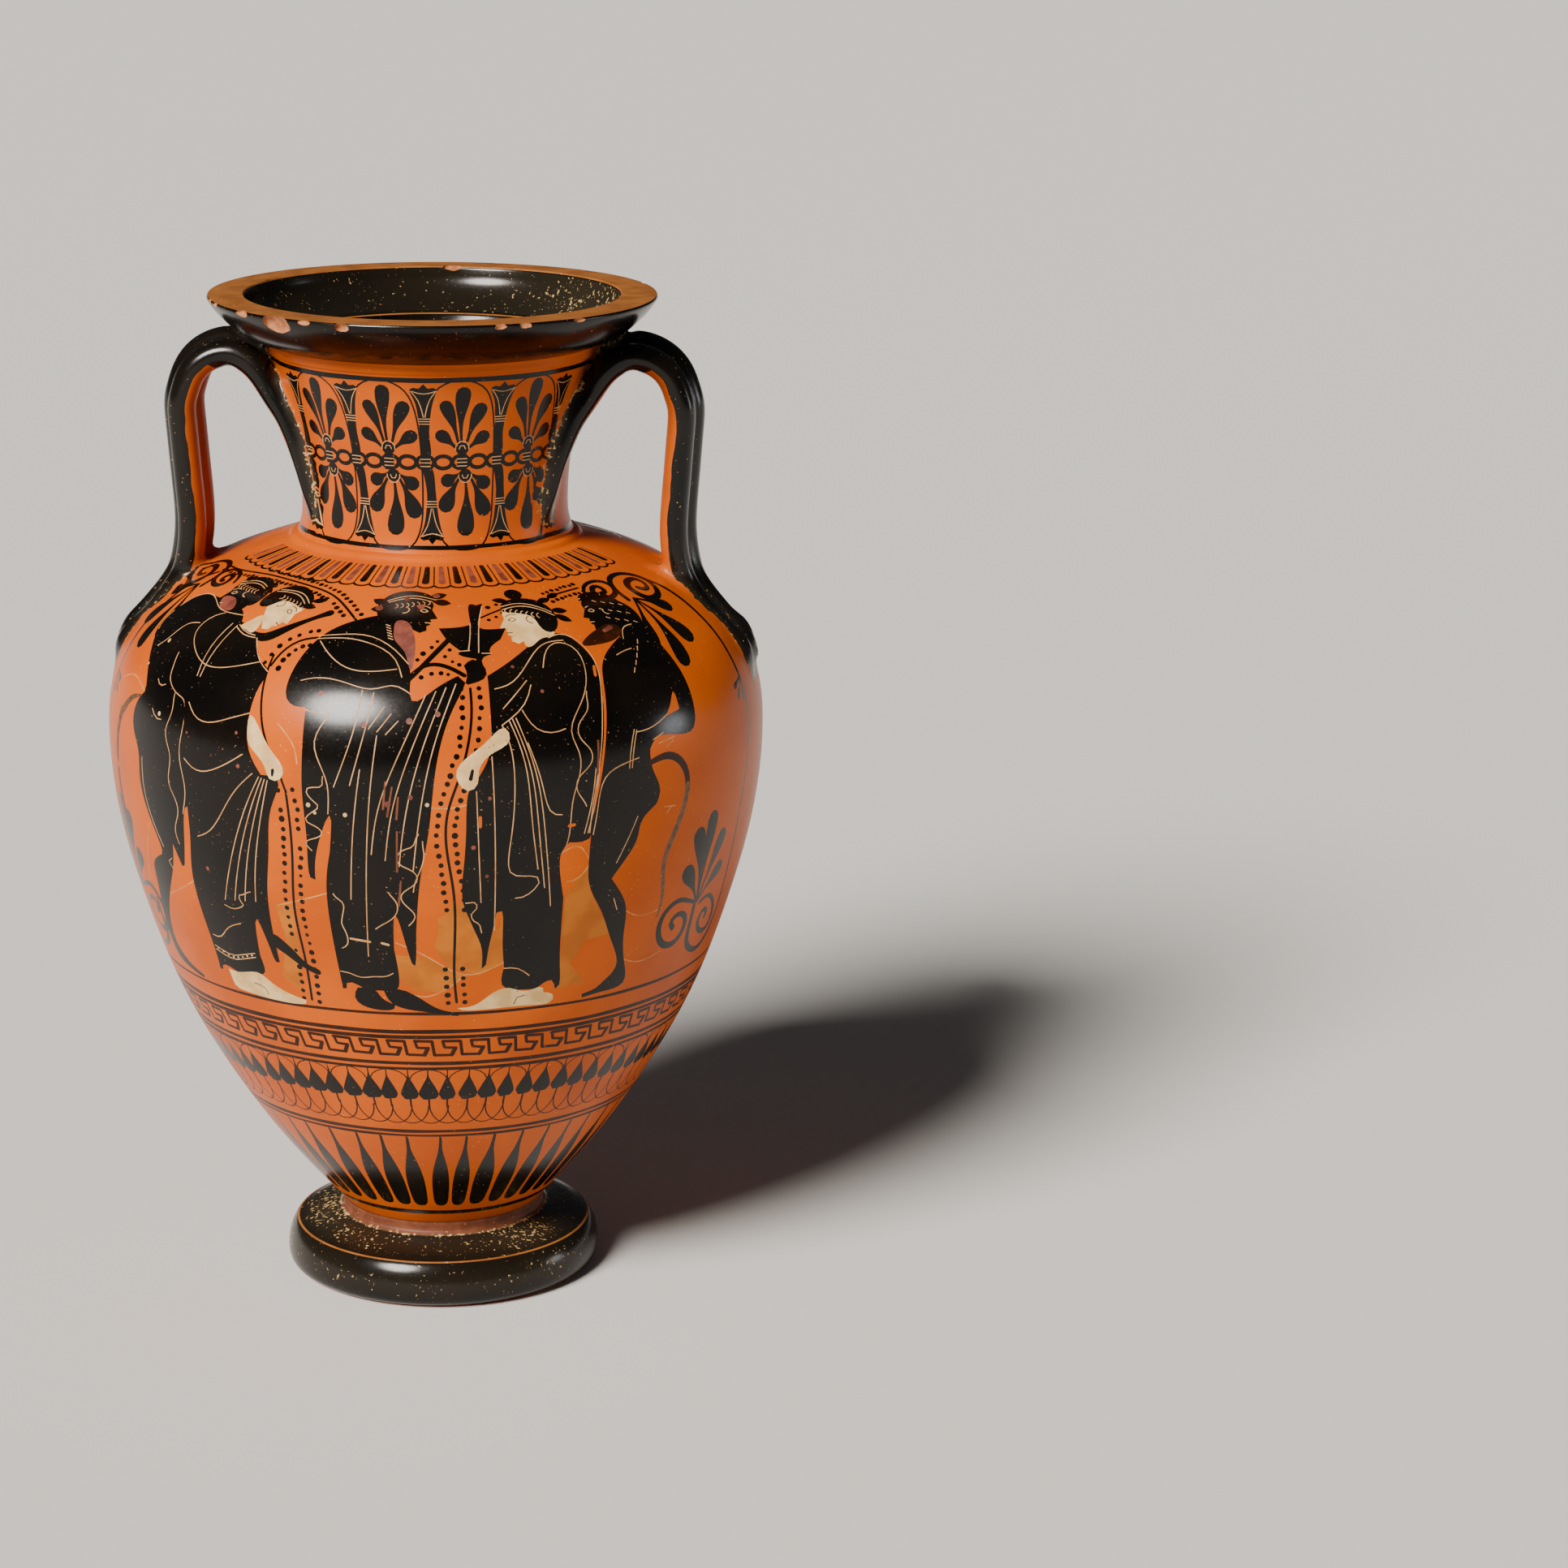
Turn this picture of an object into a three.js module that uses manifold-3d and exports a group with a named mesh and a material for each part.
// Neck amphora of fired clay: a wheel-thrown vessel with a disc foot, an egg-shaped body, a concave neck, a
// flaring lip and two upright handles of three rolls each. Foot, body, neck, lip and handles are one piece.
//
// Millimetres, +Z up. The origin is the centre of the resting surface. The handles stand on the X axis and the
// main picture side faces -Y.

import * as THREE from 'three';
import { mergeVertices } from 'three/addons/utils/BufferGeometryUtils.js';
import Module from 'manifold-3d';

// Heights above the resting surface

const TOTAL_HEIGHT = 420;
const LIP_HEIGHT = 20;
const NECK_HEIGHT = 79;
const FOOT_HEIGHT = 24.8;
const COLLAR_HEIGHT = 6.2;

// Radii

const LIP_RADIUS = 92.2;
const MOUTH_RADIUS = 76.8;
const THROAT_RADIUS = 48.2;
const NECK_WAIST_RADIUS = 54.9;
const NECK_TOP_RADIUS = 66.2;
const NECK_FOOT_RADIUS = 56.8;
const BELLY_RADIUS = 136.6;
const COLLAR_RADIUS = 42.6;
const FOOT_RADIUS = 66.8;
const RESTING_RADIUS = 61.2;
const RECESS_RADIUS = 49;

// Walls and small forms

const BODY_WALL = 5.5;
const FLOOR_THICKNESS = 24;
const RECESS_DEPTH = 13;
const RIM_EDGE = 1.6;
const LIP_BAND = 1.3;
const NECK_BEAD = 1.2;

// Handles

const HANDLE_REACH = 111.2;
const HANDLE_TOP_DROP = 14.8;
const ROLL_THICKNESS = 11.6;
const ROLL_WIDTH = 13.6;
const MIDDLE_ROLL_THICKNESS = 12.8;
const MIDDLE_ROLL_RISE = 2.7;
const ROLL_SPACING = 12.4;
const ROOT_SPREAD = 13.6;
const NECK_SPREAD = 25;

// Faceting

const LATHE_SEGMENTS = 44;
const ROLL_SIDES = 10;
const ROLL_STEPS = 21;
const BODY_STEPS = 14;
const NECK_STEPS = 6;
const CAVITY_STEPS = 10;

// Heights worked out from the sizes above

const LIP_BASE = TOTAL_HEIGHT - LIP_HEIGHT;
const NECK_BASE = LIP_BASE - NECK_HEIGHT;
const BODY_BASE = FOOT_HEIGHT + COLLAR_HEIGHT;
const BODY_HEIGHT = NECK_BASE - BODY_BASE;
const HANDLE_TOP = TOTAL_HEIGHT - HANDLE_TOP_DROP;

const wasm = await Module();
wasm.setup();

// A point of a lathe profile: radius, height.
function at(radius, height) {
  return new THREE.Vector2(radius, height);
}

// Points spaced along a smooth curve through a few chosen points.
function smooth(points, steps) {
  return new THREE.SplineCurve(points).getSpacedPoints(steps);
}

// The same profile moved inwards by a wall thickness, square to itself.
function inset(profile, thickness) {
  return profile.map((point, i) => {
    const before = profile[Math.max(i - 1, 0)];
    const after = profile[Math.min(i + 1, profile.length - 1)];
    const along = after.clone().sub(before).normalize();
    return at(point.x - along.y * thickness, point.y + along.x * thickness);
  });
}

// Foot: a torus edge, a groove line and a nearly flat top that rises to the collar.
function footProfile() {
  const top = FOOT_HEIGHT;
  return [
    at(RESTING_RADIUS, 0),
    at(FOOT_RADIUS - 1.4, top * 0.11),
    at(FOOT_RADIUS, top * 0.33),
    at(FOOT_RADIUS - 0.6, top * 0.53),
    at(FOOT_RADIUS - 2.3, top * 0.71),
    at(FOOT_RADIUS - 4.4, top * 0.82),
    at(FOOT_RADIUS - 11.5, top * 0.91),
    at(COLLAR_RADIUS + 1, top),
    at(COLLAR_RADIUS, top + 1.2),
  ];
}

// Body: shares of its height and of the belly radius, from the collar up to the flat inner shoulder.
function bodyProfile() {
  const shape = [
    [0.3125, 0.0],
    [0.493, 0.1],
    [0.668, 0.2207],
    [0.804, 0.3414],
    [0.898, 0.462],
    [0.9685, 0.583],
    [1.0, 0.7034],
    [0.9832, 0.7966],
    [0.902, 0.8759],
    [0.82, 0.914],
    [0.71, 0.9497],
    [0.5885, 0.9735],
  ];
  const shares = shape.map(([r, h]) => at(BELLY_RADIUS * r, BODY_BASE + BODY_HEIGHT * h));
  return smooth(shares, BODY_STEPS);
}

// Neck: a bead at its foot, a concave wall and a plain band under the lip.
function neckProfile() {
  const wall = smooth(
    [
      at(NECK_FOOT_RADIUS, NECK_BASE + 1.5),
      at(NECK_WAIST_RADIUS + 0.4, NECK_BASE + NECK_HEIGHT * 0.09),
      at(NECK_WAIST_RADIUS, NECK_BASE + NECK_HEIGHT * 0.17),
      at(NECK_WAIST_RADIUS + 1.4, NECK_BASE + NECK_HEIGHT * 0.42),
      at(NECK_WAIST_RADIUS + 4.9, NECK_BASE + NECK_HEIGHT * 0.67),
      at(NECK_TOP_RADIUS, NECK_BASE + NECK_HEIGHT * 0.95),
    ],
    NECK_STEPS,
  );
  return [
    at(NECK_FOOT_RADIUS + 4, NECK_BASE - 1.5),
    at(NECK_FOOT_RADIUS + 2, NECK_BASE - 1.5 + NECK_BEAD * 2),
    ...wall,
    at(NECK_TOP_RADIUS + LIP_BAND, LIP_BASE - 3.4),
    at(NECK_TOP_RADIUS + LIP_BAND, LIP_BASE - 0.6),
  ];
}

// Lip: it flares almost flat at first, then at a steep slope to the rounded rim.
function lipProfile() {
  return [
    at(NECK_TOP_RADIUS + LIP_BAND + 1.6, LIP_BASE + LIP_HEIGHT * 0.05),
    at(LIP_RADIUS - 17, LIP_BASE + LIP_HEIGHT * 0.17),
    at(LIP_RADIUS - 11.5, LIP_BASE + LIP_HEIGHT * 0.32),
    at(LIP_RADIUS - 6, LIP_BASE + LIP_HEIGHT * 0.56),
    at(LIP_RADIUS - 1.6, LIP_BASE + LIP_HEIGHT * 0.81),
    at(LIP_RADIUS, TOTAL_HEIGHT - RIM_EDGE * 0.9),
    at(LIP_RADIUS - RIM_EDGE, TOTAL_HEIGHT),
  ];
}

// Inside of the vessel: mouth with a ledge, throat, hollow body and a bowl-shaped floor.
function cavityProfile() {
  const above = TOTAL_HEIGHT + 1;
  const lip = [
    at(0, above),
    at(MOUTH_RADIUS, above),
    at(MOUTH_RADIUS - 0.5, TOTAL_HEIGHT - 3),
    at(MOUTH_RADIUS - 4, LIP_BASE + LIP_HEIGHT * 0.45),
    at(MOUTH_RADIUS - 15, LIP_BASE + LIP_HEIGHT * 0.1),
    at(THROAT_RADIUS + 8, LIP_BASE - 11),
    at(THROAT_RADIUS + 3, LIP_BASE - 30),
    at(THROAT_RADIUS + 0.4, LIP_BASE - 52),
    at(THROAT_RADIUS, LIP_BASE - 66),
    at(THROAT_RADIUS + 1.2, NECK_BASE + 4),
  ];
  const outer = bodyProfile();
  const floor = RECESS_DEPTH + FLOOR_THICKNESS;
  const hollow = smooth(inset(outer, BODY_WALL).reverse(), CAVITY_STEPS)
    .filter((point) => point.y > floor + 10 && point.x > THROAT_RADIUS * 0.6);
  return [...lip, ...hollow, at(COLLAR_RADIUS - 10, floor + 2), at(0, floor)];
}

// Hollow under the foot, so that the vessel rests on a ring.
function recessProfile() {
  return [
    at(0, -1),
    at(RECESS_RADIUS, -1),
    at(RECESS_RADIUS, 0),
    at(RECESS_RADIUS - 6, RECESS_DEPTH * 0.55),
    at(RECESS_RADIUS * 0.5, RECESS_DEPTH * 0.9),
    at(0, RECESS_DEPTH),
  ];
}

// A handle roll's line in the plane of the handle: distance from the axis, height, and how far the outer rolls
// stand from the middle plane, from the root on the shoulder over the top and down the side of the neck.
function rollLine(side) {
  const reach = HANDLE_REACH - MIDDLE_ROLL_THICKNESS / 2 - MIDDLE_ROLL_RISE;
  const crown = HANDLE_TOP - MIDDLE_ROLL_THICKNESS / 2 - MIDDLE_ROLL_RISE;
  const shoulder = NECK_BASE;
  const free = [
    [BELLY_RADIUS - 9.6, shoulder - 59, ROOT_SPREAD],
    [BELLY_RADIUS - 12, shoulder - 47.5, ROOT_SPREAD],
    [BELLY_RADIUS - 16.6, shoulder - 40, ROOT_SPREAD],
    [BELLY_RADIUS - 22.3, shoulder - 33, ROOT_SPREAD * 0.97],
    [reach + 6.3, shoulder - 26, ROOT_SPREAD * 0.93],
    [reach + 1.5, shoulder - 18.5, ROOT_SPREAD * 0.88],
    [reach - 1.4, shoulder - 9, ROLL_SPACING],
    [reach - 2.6, shoulder + 4, ROLL_SPACING],
    [reach - 1.4, shoulder + 24, ROLL_SPACING],
    [reach, shoulder + 42, ROLL_SPACING],
    [reach + 0.5, shoulder + 53, ROLL_SPACING],
    [reach - 0.6, crown - 17, ROLL_SPACING],
    [reach - 3.4, crown - 9.6, ROLL_SPACING],
    [reach - 8, crown - 4, ROLL_SPACING],
    [reach - 14, crown - 0.8, ROLL_SPACING],
    [reach - 20.5, crown, ROLL_SPACING * 1.04],
  ];
  const middle = [
    [NECK_TOP_RADIUS + 8, crown - 2.5, 0],
    [NECK_TOP_RADIUS + 2, crown - 7.5, 0],
    [NECK_TOP_RADIUS - 3, crown - 14, 0],
  ];
  const outer = [
    [NECK_TOP_RADIUS + 9.5, crown - 2, ROLL_SPACING * 1.1],
    [NECK_TOP_RADIUS + 4, crown - 6.5, ROLL_SPACING * 1.2],
    [NECK_TOP_RADIUS - 0.4, crown - 12.5, NECK_SPREAD * 0.64],
    [NECK_TOP_RADIUS - 4.4, crown - 18.5, NECK_SPREAD * 0.71],
    [NECK_TOP_RADIUS - 8, crown - 24, NECK_SPREAD * 0.77],
    [NECK_WAIST_RADIUS - 0.3, crown - 32, NECK_SPREAD * 0.85],
    [NECK_WAIST_RADIUS - 3.4, crown - 41, NECK_SPREAD * 0.93],
    [NECK_WAIST_RADIUS - 6, crown - 51, NECK_SPREAD * 0.98],
    [NECK_WAIST_RADIUS - 8.2, crown - 61, NECK_SPREAD],
    [NECK_WAIST_RADIUS - 11.5, crown - 69, NECK_SPREAD],
  ];
  const line = side === 0 ? [...free, ...middle] : [...free, ...outer];
  return line.map(([x, z, spread]) => new THREE.Vector3(x, spread * side, z));
}

// The middle roll stands proud of the outer two: its line is moved outwards, square to itself, and it sinks
// into the shoulder at its root as they do.
function raised(line, rise) {
  const rootPoints = 6;
  return line.map((point, i) => {
    const lift = rise * Math.min(1, i / rootPoints);
    const before = line[Math.max(i - 1, 0)];
    const after = line[Math.min(i + 1, line.length - 1)];
    const along = after.clone().sub(before).normalize();
    return new THREE.Vector3(point.x + along.z * lift, point.y, point.z - along.x * lift);
  });
}

function rollGeometry(side) {
  const isMiddle = side === 0;
  const thickness = isMiddle ? MIDDLE_ROLL_THICKNESS : ROLL_THICKNESS;
  const line = isMiddle ? raised(rollLine(side), MIDDLE_ROLL_RISE) : rollLine(side);
  const section = new THREE.Shape();
  section.absellipse(0, 0, ROLL_WIDTH / 2, thickness / 2, 0, Math.PI * 2);
  return new THREE.ExtrudeGeometry(section, {
    steps: ROLL_STEPS,
    curveSegments: ROLL_SIDES / 2,
    bevelEnabled: false,
    extrudePath: new THREE.CatmullRomCurve3(line, false, 'centripetal'),
  });
}

// Chips broken from the rim: angle from the front in degrees towards +X, length along the rim, depth.
const CHIPS = [
  { angle: -73, length: 5, depth: 2.4 },
  { angle: -50, length: 9, depth: 2.6 },
  { angle: -36, length: 12, depth: 5.5 },
  { angle: -27, length: 5, depth: 2.2 },
  { angle: -18, length: 8, depth: 2.0 },
  { angle: 22, length: 6, depth: 2.0 },
  { angle: 45, length: 7, depth: 2.6 },
];

function chipGeometry({ angle, length, depth }) {
  const turn = THREE.MathUtils.degToRad(angle);
  const geometry = new THREE.IcosahedronGeometry(1, 1);
  geometry.scale(length / 2, depth * 0.8, depth);
  geometry.rotateZ(turn);
  geometry.translate(LIP_RADIUS * Math.sin(turn), -LIP_RADIUS * Math.cos(turn), TOTAL_HEIGHT - RIM_EDGE);
  return geometry;
}

function toSolid(geometry) {
  const bare = geometry.clone();
  bare.deleteAttribute('normal');
  bare.deleteAttribute('uv');
  const merged = mergeVertices(bare, 1e-4);
  const mesh = new wasm.Mesh({
    numProp: 3,
    vertProperties: Float32Array.from(merged.attributes.position.array),
    triVerts: Uint32Array.from(merged.index.array),
  });
  mesh.merge();
  return new wasm.Manifold(mesh);
}

function toGeometry(solid) {
  const mesh = solid.getMesh();
  const geometry = new THREE.BufferGeometry();
  geometry.setAttribute('position', new THREE.BufferAttribute(mesh.vertProperties, 3));
  geometry.setIndex(new THREE.BufferAttribute(mesh.triVerts, 1));
  geometry.computeVertexNormals();
  return geometry;
}

// A profile turned about the vertical axis.
function turned(profile) {
  const geometry = new THREE.LatheGeometry(profile, LATHE_SEGMENTS);
  geometry.rotateX(Math.PI / 2);
  return geometry;
}

function vesselGeometry() {
  const outside = [
    at(0, 0),
    ...footProfile(),
    ...bodyProfile(),
    ...neckProfile(),
    ...lipProfile(),
    at(0, TOTAL_HEIGHT),
  ];
  let solid = toSolid(turned(outside));
  for (const side of [-1, 0, 1]) {
    const roll = rollGeometry(side);
    solid = solid.add(toSolid(roll));
    solid = solid.add(toSolid(roll.clone().rotateZ(Math.PI)));
  }
  solid = solid.subtract(toSolid(turned(cavityProfile().reverse())));
  solid = solid.subtract(toSolid(turned(recessProfile())));
  for (const chip of CHIPS) {
    solid = solid.subtract(toSolid(chipGeometry(chip)));
  }
  return toGeometry(solid);
}

const slippedClay = new THREE.MeshStandardMaterial({ color: 0xc8733a, roughness: 0.45, metalness: 0 });

const amphora = new THREE.Mesh(vesselGeometry(), slippedClay);
amphora.name = 'amphora';

const group = new THREE.Group();
group.add(amphora);

export default group;
